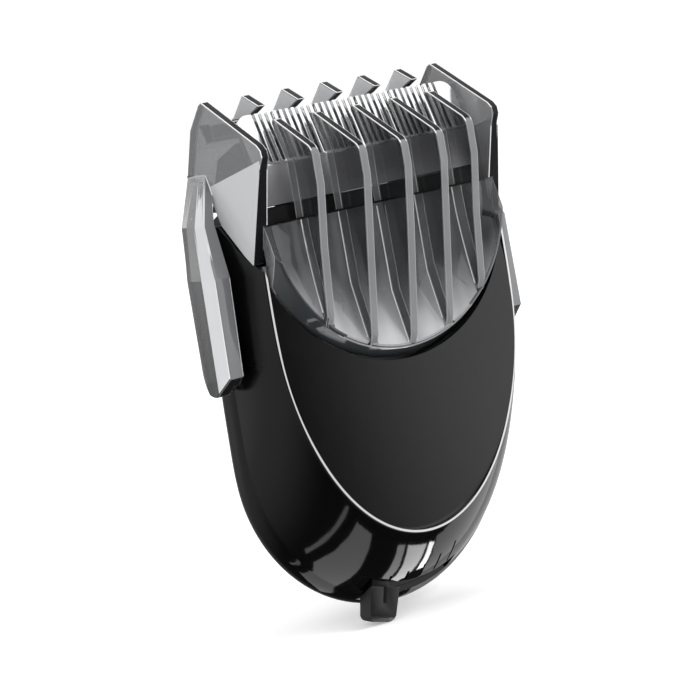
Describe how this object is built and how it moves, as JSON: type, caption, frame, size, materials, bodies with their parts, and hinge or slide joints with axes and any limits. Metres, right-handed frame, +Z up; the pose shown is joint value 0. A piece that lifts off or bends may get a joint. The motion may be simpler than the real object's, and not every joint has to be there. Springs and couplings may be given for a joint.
{
  "type": "beard trimmer head",
  "caption": "Click-on beard trimmer head for a rotary shaver: smoked comb with ribs over a toothed blade, black lobe body, sliding length selector.",
  "frame": {"origin": "centre of the handle socket's mouth, on the socket's axis", "axes": "+X to the right, +Y to the back along the socket's axis, +Z up towards the blade and comb"},
  "size_m": [0.0518, 0.0301, 0.0746],
  "materials": {
    "gloss_black": "polished black shell",
    "panel_black": "satin-gloss black panel",
    "bright_trim": "bright thin line",
    "inner_plastic": "moulded inner parts",
    "satin_black": "satin black moulded",
    "tab_black": "matte black, fine texture",
    "carrier_plastic": "off-white acetal",
    "rubber": "soft seal",
    "steel": "spring steel and screws",
    "dark_screw": "large screw heads",
    "bush_metal": "sintered bronze bush",
    "blade_steel": "ground steel teeth",
    "smoked_clear": "smoked transparent plastic"
  },
  "bodies": {
    "body": {"front_housing": "gloss_black", "front_cover": "panel_black", "trim_ring": "bright_trim", "back_cover": "gloss_black", "chassis": "inner_plastic", "handle_socket": "inner_plastic", "retaining_clip": "steel", "coupling_seal": "rubber", "housing_screws": "steel", "drive_bush": "bush_metal", "lever_pivot_pin": "steel", "blade_base": "satin_black", "blade_base_screws": "dark_screw", "fixed_blade": "blade_steel", "cutter_springs": "steel", "detent_spring": "steel"},
    "cutter": {"cutter": "blade_steel", "cutter_carrier": "carrier_plastic"},
    "lever": {"drive_lever": "carrier_plastic"},
    "shaft": {"drive_shaft": "inner_plastic", "eccentric_pin": "steel"},
    "ring": {"selector_ring": "satin_black", "selector_spring": "steel"},
    "tab": {"selector_tab": "tab_black"},
    "carrier": {"comb_carrier": "satin_black", "carrier_pin": "steel"},
    "comb": {"comb": "smoked_clear"}
  },
  "joints": [
    {"name": "drive_spin", "type": "hinge", "parent": "body", "child": "shaft", "pos_m": [0, 0, 0], "axis": [0, 1, 0], "continuous": true},
    {"name": "lever_swing", "type": "hinge", "parent": "body", "child": "lever", "pos_m": [0, 0, 0.016], "axis": [0, 1, 0], "range_deg": [-2.9, 2.9]},
    {"name": "cutter_stroke", "type": "slide", "parent": "body", "child": "cutter", "axis": [1, 0, 0], "range_m": [-0.001, 0.001]},
    {"name": "length_selector", "type": "hinge", "parent": "body", "child": "ring", "pos_m": [0, 0, 0], "axis": [0, -1, 0], "range_deg": [0, 30]},
    {"name": "tab_press", "type": "slide", "parent": "ring", "child": "tab", "axis": [0.2756, 0, 0.9613], "range_m": [0, 0.0004], "stiffness_N_per_m": 800, "springref_m": -0.0005},
    {"name": "comb_height", "type": "slide", "parent": "body", "child": "carrier", "axis": [0, 0, 1], "range_m": [0, 0.004]},
    {"name": "comb_removal", "type": "slide", "parent": "carrier", "child": "comb", "axis": [0, 0, 1], "range_m": [0, 0.045]}
  ],
  "couplings": [
    {"joint": "lever_swing", "follows": "cutter_stroke", "rad_per_m": 49.383},
    {"joint": "comb_height", "follows": "length_selector", "m_per_rad": 0.0076394}
  ]
}
